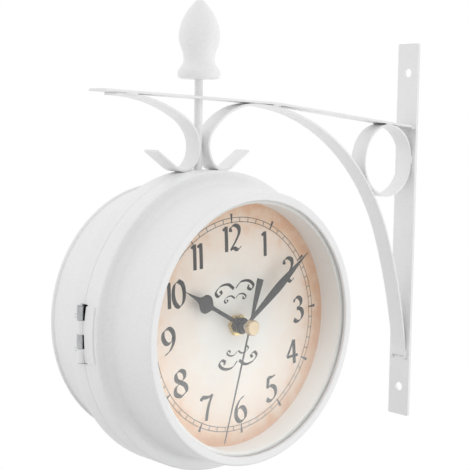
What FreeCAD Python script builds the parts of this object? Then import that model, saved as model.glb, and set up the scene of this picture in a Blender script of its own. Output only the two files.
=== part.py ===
import FreeCAD, Part
import math
import os

# Double sided station clock on a wall bracket. Millimetres, +Z up.
# Origin: the middle of the two wall screw holes, on the wall. The bracket reaches out along -X,
# the front dial faces -Y and the rear dial faces +Y.
Vec = FreeCAD.Vector

# ---- wall plate and bracket strips ----
plate_height = 252.6
plate_width = 17.0
plate_thick = 2.0
plate_corner = 1.0
screw_spacing = 213.7
screw_hole = 6.0
arm_width = 14.0
arm_thick = 1.4
arm_root_z = 71.6            # top of the arm where it meets the wall plate
arm_wall_slope = 5.66        # degrees, wall side of the kink
arm_tip_slope = 1.97         # degrees, tip side of the kink
arm_bend = 30.0
kink_from_clock = 57.0       # the kink lies this far from the clock axis, towards the wall
tip_from_clock = 71.0        # the arm goes this far past the clock axis
strip_width = 11.6
strip_thick = 1.5
weld_gap = 0.05              # between strips that are welded side by side
leg_length = 16.5
leg_rise = 34.3              # degrees
foot_bend = 10.5
foot_exit = 60.0             # degrees, where the foot bend runs into the scroll
left_low_radius = 15.7       # the scroll's two lower bends; the last one is worked out
left_high_radius = 26.1
right_low_radius = 21.0
right_high_radius = 13.0
left_bends = ((left_low_radius, 65.0), (left_high_radius, 25.7))     # radius, turn in degrees
right_bends = ((right_low_radius, 20.0), (right_high_radius, 49.8))
scroll_tail = 6.0            # straight end of the left scroll under the arm
scroll_rod_gap = 0.3
scroll_case_gap = 0.1
brace_bends = ((105.0, 68.3), (273.6, 80.7), (40.0, 90.0))    # radius in proportion, end heading
weld_radius = 1.5
weld_run = 4.0
solving_steps = 40

# ---- hanger rod and finial ----
clock_reach = 186.4          # wall to clock axis
clock_drop = 40.2            # screw centre to clock axis
rod_dia = 4.8
thread_dia = 4.0
thread_below = 7.6           # threaded end inside the case
thread_above = 12.0          # threaded end inside the finial
slip = 0.1                   # radial room round a rod or screw
finial_lift = 9.8            # base of the finial above the arm
finial_profile = ((10.5, 0.0), (12.2, 3.8), (9.0, 7.5), (8.7, 10.6), (9.6, 14.8), (11.8, 23.0),
                  (10.3, 31.2), (7.0, 38.1), (3.1, 42.4), (1.2, 44.4))
finial_height = 45.0
nut_flats = 7.0
nut_height = 3.2
washer_dia = 7.0
washer_thick = 0.8

# ---- case, turned about the clock axis; "depth" is measured from the middle of the case ----
case_offset = 8.0            # the case middle hangs this far in front of the rod
case_half_depth = 44.9
case_wall = 0.8
band_radius = 85.0
band_depth = 12.4
band_corner = 1.0
shoulder_radius = 81.0       # the flat shoulder ends here and the fillet begins
shoulder_fillet = 4.0
neck_radius = 74.3           # the barrel narrows to this behind the rim
rim_radius = 75.4
rim_bead = 1.3
rim_opening = 70.3
rim_lip = 1.7
rim_corner = 0.8
seam_gap = 0.3
lip_clear = 0.4              # radial room round the locating lip of the rear half
lip_thick = 0.8
lip_reach = 3.0
lip_root = 3.5

# ---- hinge on the side away from the wall, magnetic catch on the wall side ----
hinge_height = 30.0
hinge_knuckles = 4
knuckle_dia = 3.6
knuckle_gap = 0.15
knuckle_room = 0.9           # window in the front leaf round the other knuckles
pin_dia = 1.6
pin_head = 2.6
pin_head_thick = 0.6
pin_clear = 0.05
pin_stand_off = 1.0          # pin axis outside the band
leaf_thick = 0.8
leaf_width = 10.0
notch_half = 2.8
notch_room = 0.8
rivet_dia = 2.2
rivet_head = 3.6
rivet_head_thick = 0.7
rivet_place = 6.6
rivet_spread = 9.0
catch_height = 12.0
catch_inner = 76.0
catch_back = 9.0
catch_gap = 0.5
catch_lip_gap = 0.2          # between the catch and the locating lip
strike_lip_gap = 0.6
strike_foot_gap = 1.5
strike_thick = 1.0
magnet_dia = 6.0
magnet_thick = 4.0
magnet_radius = 79.2

# ---- glass, reveal ring and dial of one side ----
glass_thick = 2.0
glass_clear = 0.3
glass_space = 15.1           # glass to dial
reveal_radius = 68.6
dial_thick = 0.8
dial_hole = 8.4
keeper_radius = 66.0
keeper_thick = 1.5

# ---- quartz movement of one side ----
movement_size = 56.0
movement_depth = 16.0
movement_wall = 1.2
rubber_dia = 20.0
rubber_thick = 1.0
bush_dia = 8.0
bush_stand = 3.6             # above the dial
bush_nut_flats = 11.0
bush_nut_thick = 2.4
running = 0.05               # radial running fit
hour_tube = 5.0
hour_bore = 3.5
second_arbor = 1.6
second_pivot = 1.0
hour_wheel_dia = 20.0
minute_wheel_dia = 15.9
second_wheel_dia = 18.0
wheel_thick = 0.8
tooth_depth = 0.6
hour_teeth = 48
minute_teeth = 36
second_teeth = 60
hour_wheel_level = 3.2       # behind the movement face
minute_wheel_level = 5.6
second_wheel_level = 8.4
pivot_boss = 2.2             # radius of the bearing on the cover
knob_distance = 16.0
knob_dia = 12.0
knob_height = 4.3
knob_gap = 0.3
knob_stem = 3.0
knob_ribs = 18
knob_rib_depth = 0.5
cell_dia = 14.2
cell_length = 48.8
cell_nub = 5.5
cell_nub_height = 1.2
cell_from_edge = 8.8
cell_bay_room = 0.4
cell_seat = 0.05
contact_thick = 0.5
contact_half = 4.0           # half the side of a square contact
spring_base = 3.5            # radius at the contact and at the cell
spring_tip = 2.0
spring_gap = 0.1
board_size = (22.0, 9.0, 1.0)
coil_length = 16.0
coil_dia = 7.0
coil_core = 3.0
coil_flange = 8.0
flange_thick = 1.0
core_stand = 1.5             # the core's ends beyond the bobbin
coil_from_wall = 2.0

# ---- hands: heights above the dial, lengths from the axis, clockwise angles from the top ----
hand_thick = 0.5
hour_height = 4.8
hour_length = 46.5
hour_hub = 9.4
hour_bulb = 5.2
hour_bulb_at = 30.5
hour_stem = 2.2
hour_neck = 3.8
hour_tip = 0.3
hour_angle = 298.4
minute_height = 7.0
minute_length = 61.2
minute_hub = 7.4
minute_widest = 5.4
minute_widest_at = 33.0
minute_neck = 2.0
minute_tip = 0.24
minute_angle = 51.6
second_height = 10.7
second_length = 64.7
second_tail = 27.5
second_tail_width = 5.0
second_angle = 195.6
needle_width = 0.8
needle_tip = 0.48
second_hub_step = 0.8        # the cap covers the second hand's hub by this much
collar_height = 1.4
cap_dia = 8.6
cap_height = 3.3
cap_round = 0.9

# ---- places worked out from the sizes above ----
axis_x = -clock_reach
axis_z = -clock_drop
mid_y = -case_offset
plate_front = -plate_thick
band_inner = band_radius - case_wall
barrel_radius = shoulder_radius - shoulder_fillet
seat_inner = neck_radius - case_wall
glass_front = case_half_depth - rim_lip
glass_back = glass_front - glass_thick
dial_face = glass_back - glass_space
dial_back = dial_face - dial_thick
movement_face = dial_back - rubber_thick
movement_back = movement_face - movement_depth
movement_half = movement_size / 2
pin_x = axis_x - band_radius - pin_stand_off


def box(x_from, x_to, y_from, y_to, z_from, z_to):
    return Part.makeBox(x_to - x_from, y_to - y_from, z_to - z_from, Vec(x_from, y_from, z_from))


def rod_z(radius, z_from, z_to, x=axis_x, y=0.0):
    return Part.makeCylinder(radius, z_to - z_from, Vec(x, y, z_from), Vec(0, 0, 1))


def front_box(x_from, x_to, z_from, z_to, depth_from, depth_to):
    """Box on the front side, measured from the clock axis and the middle of the case."""
    return box(axis_x + x_from, axis_x + x_to, mid_y - depth_to, mid_y - depth_from,
               axis_z + z_from, axis_z + z_to)


def front_disc(radius, depth_from, depth_to, x=0.0, z=0.0):
    """Disc or shaft along the clock axis on the front side."""
    start = Vec(axis_x + x, mid_y - depth_from, axis_z + z)
    return Part.makeCylinder(radius, depth_to - depth_from, start, Vec(0, -1, 0))


def front_ring(outer, inner, depth_from, depth_to, x=0.0, z=0.0):
    spare = 1.0
    hole = front_disc(inner, depth_from - spare, depth_to + spare, x, z)
    return front_disc(outer, depth_from, depth_to, x, z).cut(hole)


def to_rear(shape):
    """The same piece on the other side: half a turn about the upright axis of the case."""
    turned = shape.copy()
    turned.rotate(Vec(axis_x, mid_y, 0), Vec(0, 0, 1), 180)
    return turned


def fuse_all(shapes):
    return shapes[0].multiFuse(shapes[1:]).removeSplitter() if len(shapes) > 1 else shapes[0]


def on_circle(centre, radius, degrees):
    angle = math.radians(degrees)
    return (centre[0] + radius * math.cos(angle), centre[1] + radius * math.sin(angle))


def outline(items, place):
    """Closed wire through (a, b) points and ("arc", centre, radius, from, to) stretches."""
    edges = []
    first = last = None
    for item in items:
        if item[0] == "arc":
            start, end = (on_circle(item[1], item[2], item[i]) for i in (3, 4))
            middle = on_circle(item[1], item[2], (item[3] + item[4]) / 2)
        else:
            start = end = item
        if last and math.dist(last, start) > 1e-6:
            edges.append(Part.LineSegment(place(*last), place(*start)).toShape())
        if item[0] == "arc":
            edges.append(Part.Arc(place(*start), place(*middle), place(*end)).toShape())
        first = first or start
        last = end
    edges.append(Part.LineSegment(place(*last), place(*first)).toShape())
    return Part.Wire(edges)


def turned_case(items):
    """Solid turned about the clock axis from a (radius, depth) outline, front side."""
    wire = outline(items, lambda radius, depth: Vec(axis_x + radius, mid_y - depth, axis_z))
    return Part.Face(wire).revolve(Vec(axis_x, 0, axis_z), Vec(0, 1, 0), 360)


def flat_front(items, depth_from, depth_to, angle=0.0):
    """Flat piece parallel to the dial from an (across, up) outline, turned clockwise by angle."""
    wire = outline(items, lambda across, up: Vec(axis_x + across, mid_y - depth_from, axis_z + up))
    solid = Part.Face(wire).extrude(Vec(0, depth_from - depth_to, 0))
    solid.rotate(Vec(axis_x, 0, axis_z), Vec(0, 1, 0), angle)
    return solid


# ---------------------------------------------------------------- bracket

def walk(start, heading, moves):
    """Follow runs (length,) and bends (radius, turn) from start. A turn above 0 goes right.

    Gives each stretch as (kind, start, heading, end, end heading, radius, turn)."""
    stretches = []
    point = start
    for move in moves:
        angle = math.radians(heading)
        if len(move) == 1:
            end = (point[0] + move[0] * math.cos(angle), point[1] + move[0] * math.sin(angle))
            stretches.append(("run", point, heading, end, heading, 0.0, 0.0))
        else:
            radius, turn = move
            side = math.copysign(1.0, turn)
            centre = on_circle(point, radius, heading - 90 * side)
            end = on_circle(centre, radius, heading + 90 * side - turn)
            stretches.append(("bend", point, heading, end, heading - turn, radius, turn))
            heading -= turn
        point = end
    return stretches


def bent_strip(start, heading, moves, thick, width):
    """Flat strip bent the easy way, its middle line in the X-Z plane, as wide as width along Y."""
    left, right = [], []
    for kind, point, begin, end, finish, radius, turn in walk(start, heading, moves):
        for edge, sign in ((left, 1.0), (right, -1.0)):
            near = on_circle(point, thick / 2, begin + 90 * sign)
            far = on_circle(end, thick / 2, finish + 90 * sign)
            ends = [Vec(near[0], -width / 2, near[1]), Vec(far[0], -width / 2, far[1])]
            if kind == "run":
                edge.append(Part.LineSegment(*ends).toShape())
                continue
            side = math.copysign(1.0, turn)
            centre = on_circle(point, radius, begin - 90 * side)
            middle = on_circle(centre, radius + side * sign * thick / 2, begin + 90 * side - turn / 2)
            edge.append(Part.Arc(ends[0], Vec(middle[0], -width / 2, middle[1]), ends[1]).toShape())
    caps = [Part.LineSegment(left[i].Vertexes[i].Point, right[i].Vertexes[i].Point).toShape()
            for i in (0, -1)]
    wire = Part.Wire(Part.__sortEdges__(left + right + caps))
    return Part.Face(wire).extrude(Vec(0, width, 0))


def slope_of(degrees):
    return math.tan(math.radians(degrees))


kink_x = axis_x + kink_from_clock
kink_z = arm_root_z + (plate_front - kink_x) * slope_of(arm_wall_slope)
finial_base = kink_z + kink_from_clock * slope_of(arm_tip_slope) + finial_lift - axis_z


def arm_under(x):
    """Height of the underside of the arm at x."""
    if x > kink_x:
        top, slope = kink_z - (x - kink_x) * slope_of(arm_wall_slope), arm_wall_slope
    else:
        top, slope = kink_z + (kink_x - x) * slope_of(arm_tip_slope), arm_tip_slope
    return top - arm_thick / math.cos(math.radians(slope))


def wall_plate():
    plate = box(plate_front, 0, -plate_width / 2, plate_width / 2, -plate_height / 2, plate_height / 2)
    upright = [edge for edge in plate.Edges if abs(edge.tangentAt(edge.FirstParameter).x) > 0.9]
    plate = plate.makeFillet(plate_corner, upright)
    for side in (-1, 1):
        hole = Part.makeCylinder(screw_hole / 2, 3 * plate_thick,
                                 Vec(-2 * plate_thick, 0, side * screw_spacing / 2), Vec(1, 0, 0))
        plate = plate.cut(hole)
    return plate


def arm_strip():
    tip_x = axis_x - tip_from_clock
    wall_run = (plate_front - kink_x) / math.cos(math.radians(arm_wall_slope))
    tip_run = (kink_x - tip_x) / math.cos(math.radians(arm_tip_slope))
    turn = arm_wall_slope - arm_tip_slope
    corner = arm_bend * math.tan(math.radians(turn / 2))
    lean = math.radians(arm_wall_slope)
    start = (plate_front - arm_thick / 2 * math.sin(lean), arm_root_z - arm_thick / 2 * math.cos(lean))
    moves = ((wall_run - corner,), (arm_bend, -turn), (tip_run - corner,))
    strip = bent_strip(start, 180 - arm_wall_slope, moves, arm_thick, arm_width)
    strip = strip.fuse(box(plate_front - 2 * arm_thick, plate_front, -arm_width / 2, arm_width / 2,
                           arm_root_z - arm_thick, arm_root_z)).removeSplitter()
    return strip.cut(rod_z(rod_dia / 2 + slip, axis_z, axis_z + finial_base))


def foot_centre(side, scroll_radius):
    """Centre of the foot bend: the foot rests on the case and the scroll stands beside the rod."""
    scroll_x = rod_dia / 2 + scroll_rod_gap + scroll_radius + strip_thick / 2
    foot_x = scroll_x - (scroll_radius - foot_bend) * math.sin(math.radians(foot_exit))
    reach = band_radius + scroll_case_gap + foot_bend + strip_thick / 2
    return (axis_x + side * foot_x, axis_z + math.sqrt(reach ** 2 - foot_x ** 2))


def scroll_path(side, bends, top_heading):
    """Leg, foot and scroll up to the underside of the arm. side is -1 left of the rod, 1 right."""
    centre = foot_centre(side, bends[0][0])
    heading = -leg_rise if side < 0 else leg_rise - 180
    foot_start = on_circle(centre, foot_bend, heading + 90 * side)
    start = on_circle(foot_start, leg_length, heading + 180)
    moves = [(leg_length,), (foot_bend, side * (leg_rise + foot_exit))]
    moves += [(radius, side * turn) for radius, turn in bends]
    last = walk(start, heading, moves)[-1]
    end, end_heading = last[3], last[4]
    turn = (end_heading - top_heading) * side
    lift = abs(math.cos(math.radians(top_heading)) - math.cos(math.radians(end_heading)))
    radius = 1.0
    for _ in range(solving_steps):
        crest = walk(end, end_heading, [(radius, side * turn)])[-1][3]
        short = arm_under(crest[0]) - weld_gap - strip_thick / 2 - crest[1]
        radius += short / lift
    return start, heading, moves + [(radius, side * turn)]


def left_scroll_strip():
    start, heading, moves = scroll_path(-1, left_bends, 180 - arm_tip_slope)
    return bent_strip(start, heading, moves + [(scroll_tail,)], strip_thick, strip_width)


def hook_brace_path():
    """Leg, foot, scroll, crest under the arm, then the brace down to the wall plate."""
    start, heading, moves = scroll_path(1, right_bends, -360 - arm_tip_slope)
    last = walk(start, heading, moves)[-1]
    crest, crest_heading = last[3], last[4]
    turns = []
    previous = arm_tip_slope
    for radius, end_slope in brace_bends:
        turns.append((radius, end_slope - previous))
        previous = end_slope
    drawn = walk((0, 0), crest_heading, turns)[-1][3][0]
    reach = plate_front - weld_gap - strip_thick / 2 - crest[0]
    brace = [(radius * reach / drawn, turn) for radius, turn in turns]
    return start, heading, moves, brace


def hook_brace_strip():
    start, heading, moves, brace = hook_brace_path()
    return bent_strip(start, heading, moves + brace, strip_thick, strip_width)


def ring_place():
    """Radius and centre of the ring that touches the wall plate, the arm and the brace."""
    start, heading, moves, brace = hook_brace_path()
    upper = walk(start, heading, moves + brace)[-len(brace)]
    arc_centre = on_circle(upper[1], upper[5], upper[2] - 90)
    low, high = 0.0, arm_root_z
    for _ in range(solving_steps):
        radius = (low + high) / 2
        x = plate_front - weld_gap - radius
        z = arm_under(x) - weld_gap - radius / math.cos(math.radians(arm_wall_slope))
        room = math.dist((x, z), arc_centre) - upper[5] - strip_thick / 2 - weld_gap - radius
        low, high = (radius, high) if room > 0 else (low, radius)
    return radius, x, z


def ring_strip():
    radius, x, z = ring_place()
    start = Vec(x, -strip_width / 2, z)
    outer = Part.makeCylinder(radius, strip_width, start, Vec(0, 1, 0))
    return outer.cut(Part.makeCylinder(radius - strip_thick, strip_width, start, Vec(0, 1, 0)))


def bead(x, y, z, run=0.0):
    """Round bead, drawn out along X by run."""
    blob = Part.makeSphere(weld_radius, Vec(x - run / 2, y, z))
    if run:
        blob = blob.fuse(Part.makeCylinder(weld_radius, run, Vec(x - run / 2, y, z), Vec(1, 0, 0)))
        blob = blob.fuse(Part.makeSphere(weld_radius, Vec(x + run / 2, y, z)))
    return blob


def weld_beads(arm):
    """Round weld beads on the near and far edges of the joints, flat where they meet the strips."""
    start, heading, moves, brace = hook_brace_path()
    crest = walk(start, heading, moves)[-1][3]
    brace_end = walk(start, heading, moves + brace)[-1][3]
    left_start, left_heading, left_moves = scroll_path(-1, left_bends, 180 - arm_tip_slope)
    left_end = walk(left_start, left_heading, left_moves)[-1][3]
    radius, ring_x, ring_z = ring_place()
    left_x = left_end[0] + weld_run
    places = [(left_x, strip_width, arm_under(left_x), weld_run),
              (kink_x, strip_width, arm_under(kink_x), weld_run),
              (ring_x, strip_width, arm_under(ring_x), weld_run),
              (plate_front, strip_width, ring_z, 0), (plate_front, strip_width, brace_end[1], 0),
              (plate_front, arm_width, arm_root_z - arm_thick, 0)]
    beads = []
    for x, width, z, run in places:
        for side in (-1, 1):
            near, far = sorted((side * width / 2, side * (width / 2 + 2 * weld_radius)))
            room = box(x - 10, plate_front, near, far, z - 10, z + 10)
            blob = bead(x, side * width / 2, z, run).common(room)
            blob = blob.cut(arm) if run else blob
            beads.append(max(blob.Solids, key=lambda solid: solid.Volume))
    return Part.makeCompound(beads)


def hanger_rod():
    top = axis_z + finial_base
    seat = axis_z + band_radius
    rod = rod_z(rod_dia / 2, seat, top)
    rod = rod.fuse(rod_z(thread_dia / 2, seat - case_wall - thread_below, seat))
    return rod.fuse(rod_z(thread_dia / 2, top, top + thread_above)).removeSplitter()


def finial():
    base = axis_z + finial_base
    curve = Part.BSplineCurve()
    points = [Vec(axis_x + radius, 0, base + height) for radius, height in finial_profile]
    points.append(Vec(axis_x, 0, base + finial_height))
    curve.interpolate(points)
    foot = Vec(axis_x, 0, base)
    edges = [Part.LineSegment(foot, points[0]).toShape(), curve.toShape(),
             Part.LineSegment(points[-1], foot).toShape()]
    body = Part.Face(Part.Wire(edges)).revolve(foot, Vec(0, 0, 1), 360)
    return body.cut(rod_z(thread_dia / 2 + running, base - 1, base + thread_above + running))


def washer_top():
    """The flat washer touches the round band at its two edges."""
    return axis_z + math.sqrt(band_inner ** 2 - (washer_dia / 2) ** 2)


def rod_washer():
    top = washer_top()
    disc = rod_z(washer_dia / 2, top - washer_thick, top)
    return disc.cut(rod_z(thread_dia / 2 + running, top - 2 * washer_thick, top + washer_thick))


def rod_nut():
    top = washer_top() - washer_thick
    corner = nut_flats / 2 / math.cos(math.radians(30))
    points = [Vec(axis_x + corner * math.cos(math.radians(60 * i)),
                  corner * math.sin(math.radians(60 * i)), top) for i in range(7)]
    nut = Part.Face(Part.makePolygon(points)).extrude(Vec(0, 0, -nut_height))
    return nut.cut(rod_z(thread_dia / 2 + running, top - 2 * nut_height, top + nut_height))


# ---------------------------------------------------------------- case

def inside_wall(depth):
    """Inner radius of the barrel, which narrows evenly from the fillet to the glass seat."""
    fillet_end = band_depth + shoulder_fillet
    share = (depth - fillet_end) / (glass_front - fillet_end)
    return barrel_radius - case_wall + share * (seat_inner - barrel_radius + case_wall)


def shell_outline(lip):
    """Half case from the seam to the rim, wall by wall; the rear half has the locating lip."""
    corner_centre = (band_radius - band_corner, band_depth - band_corner)
    fillet_centre = (shoulder_radius, band_depth + shoulder_fillet)
    bead_centre = (rim_radius - rim_bead, case_half_depth - rim_bead)
    bead_start = math.degrees(math.acos((neck_radius - bead_centre[0]) / rim_bead))
    lip_centre = (rim_opening + rim_corner, case_half_depth - rim_corner)
    edge = seam_gap / 2
    items = [(band_radius, edge),
             ("arc", corner_centre, band_corner, 0, 90),
             ("arc", fillet_centre, shoulder_fillet, 270, 180),
             ("arc", bead_centre, rim_bead, -bead_start, 90),
             ("arc", lip_centre, rim_corner, 90, 180),
             (rim_opening, glass_front), (seat_inner, glass_front),
             ("arc", fillet_centre, shoulder_fillet + case_wall, 180, 270),
             ("arc", corner_centre, band_corner - case_wall, 90, 0)]
    if lip:
        lip_outer = band_inner - lip_clear
        return items + [(band_inner, lip_root), (lip_outer - lip_thick, lip_root),
                        (lip_outer - lip_thick, -lip_reach), (lip_outer, -lip_reach), (lip_outer, edge)]
    return items + [(band_inner, edge)]


def hinge_zone(margin):
    """Tall block round the hinge, as high as the leaves and margin more at each end."""
    half = hinge_height / 2 + margin
    return lambda y_from, y_to: box(axis_x - band_radius - 10, axis_x - band_radius / 2, y_from, y_to,
                                    axis_z - half, axis_z + half)


def rivet_shanks(y, x_from, x_to):
    return [Part.makeCylinder(rivet_dia / 2, x_to - x_from,
                              Vec(x_from, y, axis_z + side * rivet_spread), Vec(1, 0, 0))
            for side in (-1, 1)]


def front_shell():
    shell = turned_case(shell_outline(False))
    shell = shell.cut(hinge_zone(notch_room)(mid_y - notch_half, mid_y + notch_half))
    for shank in rivet_shanks(mid_y - rivet_place, axis_x - band_radius - 5, axis_x - shoulder_radius + 2):
        shell = shell.cut(shank)
    return shell


def rear_shell():
    shell = to_rear(turned_case(shell_outline(True)))
    shell = shell.cut(hinge_zone(notch_room)(mid_y - notch_half, mid_y + notch_half))
    inside = Part.makeCylinder(band_inner, lip_root + lip_reach + 1,
                               Vec(axis_x, mid_y + lip_root, axis_z), Vec(0, -1, 0))
    shell = shell.cut(hinge_zone(2 * notch_room)(mid_y - lip_reach - 1, mid_y + lip_root).common(inside))
    for shank in rivet_shanks(mid_y + rivet_place, axis_x - band_radius - 5, axis_x - shoulder_radius + 2):
        shell = shell.cut(shank)
    return shell.cut(rod_z(thread_dia / 2 + slip, axis_z + barrel_radius, axis_z + band_radius + 1))


def knuckle_span(index):
    pitch = hinge_height / hinge_knuckles
    low = axis_z - hinge_height / 2 + index * pitch
    return low + knuckle_gap / 2, low + pitch - knuckle_gap / 2


def curved_leaf(inner, y_from, y_to):
    """Leaf bent to the round band, between radius inner and inner plus its thickness."""
    outer = Part.makeCylinder(inner + leaf_thick, y_to - y_from, Vec(axis_x, y_from, axis_z), Vec(0, 1, 0))
    hollow = outer.cut(Part.makeCylinder(inner, y_to - y_from, Vec(axis_x, y_from, axis_z), Vec(0, 1, 0)))
    return hollow.common(hinge_zone(0)(y_from, y_to))


def pin_hole():
    return rod_z(pin_dia / 2 + pin_clear, axis_z - hinge_height, axis_z + hinge_height, pin_x, mid_y)


def hinge_front_leaf():
    """Outside the front band, with every other knuckle from the lowest up."""
    clear = knuckle_dia / 2 + knuckle_room
    leaf = curved_leaf(band_radius, mid_y - leaf_width, mid_y - knuckle_dia / 4)
    pieces = [leaf]
    for index in range(hinge_knuckles):
        low, high = knuckle_span(index)
        if index % 2 == 0:
            pieces.append(rod_z(knuckle_dia / 2, low, high, pin_x, mid_y))
    leaf = fuse_all(pieces)
    for index in range(1, hinge_knuckles, 2):
        low, high = knuckle_span(index)
        leaf = leaf.cut(rod_z(clear, low - knuckle_gap, high + knuckle_gap, pin_x, mid_y))
        leaf = leaf.cut(box(pin_x - clear, pin_x + clear + 3, mid_y - clear, mid_y + clear,
                            low - knuckle_gap, high + knuckle_gap))
    for shank in rivet_shanks(mid_y - rivet_place, axis_x - band_radius - 5, axis_x - shoulder_radius + 2):
        leaf = leaf.cut(shank)
    return leaf.cut(pin_hole())


def hinge_rear_leaf():
    """Inside the rear band; two knuckles come out through the notch at the seam."""
    inner = band_inner - leaf_thick
    pieces = [curved_leaf(inner, mid_y + notch_half, mid_y + leaf_width)]
    hollow = Part.makeCylinder(inner, 4 * leaf_width, Vec(axis_x, mid_y - 2 * leaf_width, axis_z), Vec(0, 1, 0))
    for index in range(1, hinge_knuckles, 2):
        low, high = knuckle_span(index)
        web = box(pin_x, axis_x - shoulder_radius, mid_y + knuckle_dia / 8, mid_y + notch_half + leaf_thick,
                  low, high).cut(hollow)
        pieces += [rod_z(knuckle_dia / 2, low, high, pin_x, mid_y), web]
    leaf = fuse_all(pieces)
    for shank in rivet_shanks(mid_y + rivet_place, axis_x - band_radius - 5, axis_x - shoulder_radius + 2):
        leaf = leaf.cut(shank)
    return leaf.cut(pin_hole())


def hinge_pin():
    low, high = axis_z - hinge_height / 2, axis_z + hinge_height / 2
    pin = rod_z(pin_dia / 2, low - pin_head_thick, high + pin_head_thick, pin_x, mid_y)
    for z in (low - pin_head_thick, high):
        pin = pin.fuse(rod_z(pin_head / 2, z, z + pin_head_thick, pin_x, mid_y))
    return pin.removeSplitter()


def hinge_rivets(y, outside_radius, inside_radius):
    """Two rivets through band and leaf, flush outside, with a flat head inside."""
    outside = Part.makeCylinder(outside_radius, 4 * leaf_width, Vec(axis_x, y - 2 * leaf_width, axis_z),
                                Vec(0, 1, 0))
    head_x = axis_x - math.sqrt(inside_radius ** 2 - (rivet_spread + rivet_head / 2) ** 2)
    rivets = []
    for side in (-1, 1):
        z = axis_z + side * rivet_spread
        head = Part.makeCylinder(rivet_head / 2, rivet_head_thick, Vec(head_x, y, z), Vec(1, 0, 0))
        start = Vec(axis_x - outside_radius - leaf_thick, y, z)
        shank = Part.makeCylinder(rivet_dia / 2, head_x + rivet_head_thick / 2 - start.x, start, Vec(1, 0, 0))
        rivets.append(head.fuse(shank.common(outside)).removeSplitter())
    return Part.makeCompound(rivets)


def band_cylinder(radius):
    """Round block as deep as the whole band."""
    return Part.makeCylinder(radius, 2 * band_depth, Vec(axis_x, mid_y - band_depth, axis_z), Vec(0, 1, 0))


def catch_bracket():
    half = catch_height / 2
    clear_inner = band_inner - lip_clear - lip_thick - catch_lip_gap
    body = box(axis_x + catch_inner, axis_x + band_radius, mid_y + lip_root, mid_y + catch_back,
               axis_z - half, axis_z + half)
    nose = box(axis_x + catch_inner, axis_x + clear_inner, mid_y + catch_gap, mid_y + lip_root,
               axis_z - half, axis_z + half)
    inside = band_cylinder(band_inner)
    nose_inside = band_cylinder(clear_inner)
    bracket = body.common(inside).fuse(nose.common(nose_inside)).removeSplitter()
    return bracket.cut(catch_magnet())


def catch_magnet():
    return Part.makeCylinder(magnet_dia / 2, magnet_thick,
                             Vec(axis_x + magnet_radius, mid_y + catch_gap, axis_z), Vec(0, 1, 0))


def strike_plate():
    half = catch_height / 2
    clear_inner = band_inner - lip_clear - lip_thick - strike_lip_gap
    face = box(axis_x + catch_inner, axis_x + clear_inner, mid_y - catch_gap - strike_thick,
               mid_y - catch_gap, axis_z - half, axis_z + half)
    leg = box(axis_x + clear_inner - strike_thick, axis_x + clear_inner, mid_y - catch_back,
              mid_y - catch_gap, axis_z - half, axis_z + half)
    foot = box(axis_x + clear_inner - strike_thick, axis_x + band_radius, mid_y - catch_back,
               mid_y - lip_reach - strike_foot_gap, axis_z - half, axis_z + half)
    return fuse_all([face, leg, foot]).common(band_cylinder(band_inner))


# ---------------------------------------------------------------- one side: glass and dial

def glass():
    return front_disc(seat_inner - glass_clear, glass_back, glass_front)


def spacer_ring():
    return front_ring(seat_inner - glass_clear, reveal_radius, dial_face, glass_back)


def dial():
    return front_ring(seat_inner - glass_clear, dial_hole / 2, dial_back, dial_face)


def dial_keeper():
    return front_ring(inside_wall(dial_back) - glass_clear, keeper_radius, dial_back - keeper_thick, dial_back)


# ---------------------------------------------------------------- one side: movement

cell_z = -movement_half + cell_from_edge
bay_top = cell_z + cell_dia / 2 + cell_bay_room
knob_x = knob_distance * math.cos(math.radians(45))
knob_z = knob_distance * math.sin(math.radians(45))
cover_inner = movement_back + movement_wall


def movement_case():
    half, wall = movement_half, movement_wall
    tray = front_box(-half, half, -half, half, cover_inner, movement_face)
    inner = half - wall
    tray = tray.cut(front_box(-inner, inner, bay_top + wall, inner, cover_inner, movement_face - wall))
    tray = tray.cut(front_box(-inner, inner, -inner, bay_top, cover_inner, movement_face - wall))
    tray = tray.fuse(front_disc(bush_dia / 2, movement_face, dial_face + bush_stand))
    return tray.removeSplitter().cut(front_disc(hour_tube / 2 + running, movement_face - 2 * wall,
                                                dial_face + 2 * bush_stand))


def movement_cover():
    half, wall = movement_half, movement_wall
    inner = half - wall
    cover = front_box(-half, half, -half, half, movement_back, cover_inner)
    cover = cover.cut(front_box(-inner, inner, -inner, bay_top, movement_back, cover_inner))
    boss = front_disc(pivot_boss, cover_inner, cover_inner + 2 * wall)
    cover = cover.fuse(boss).removeSplitter()
    cover = cover.cut(front_disc(second_pivot / 2 + running, movement_back + wall / 2, cover_inner + 3 * wall))
    return cover.cut(front_disc(knob_stem / 2 + running, 0, cover_inner + wall, knob_x, knob_z))


def toothed_wheel(diameter, teeth, level, x=0.0, z=0.0):
    """Flat wheel with straight sided teeth, level behind the movement face."""
    points = []
    for index in range(teeth):
        for part, radius in ((0.0, diameter / 2 - tooth_depth), (0.3, diameter / 2 - tooth_depth),
                             (0.45, diameter / 2), (0.75, diameter / 2)):
            angle = 2 * math.pi * (index + part) / teeth
            points.append((x + radius * math.cos(angle), z + radius * math.sin(angle)))
    top = movement_face - level
    return flat_front(points, top - wheel_thick, top)


def with_arbor(wheel, outer, inner, depth_from, depth_to):
    arbor = wheel.fuse(front_disc(outer / 2, depth_from, depth_to)).removeSplitter()
    return arbor.cut(front_disc(inner / 2, depth_from - 1, depth_to + 1)) if inner else arbor


def hour_wheel():
    wheel = toothed_wheel(hour_wheel_dia, hour_teeth, hour_wheel_level)
    top = movement_face - hour_wheel_level
    return with_arbor(wheel, hour_tube, hour_bore, top - wheel_thick, dial_face + hour_height + hand_thick)


def minute_wheel():
    wheel = toothed_wheel(minute_wheel_dia, minute_teeth, minute_wheel_level)
    top = movement_face - minute_wheel_level
    return with_arbor(wheel, hour_bore - 2 * running, second_arbor + 2 * running, top - wheel_thick,
                      dial_face + minute_height + hand_thick + collar_height / 2)


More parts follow.
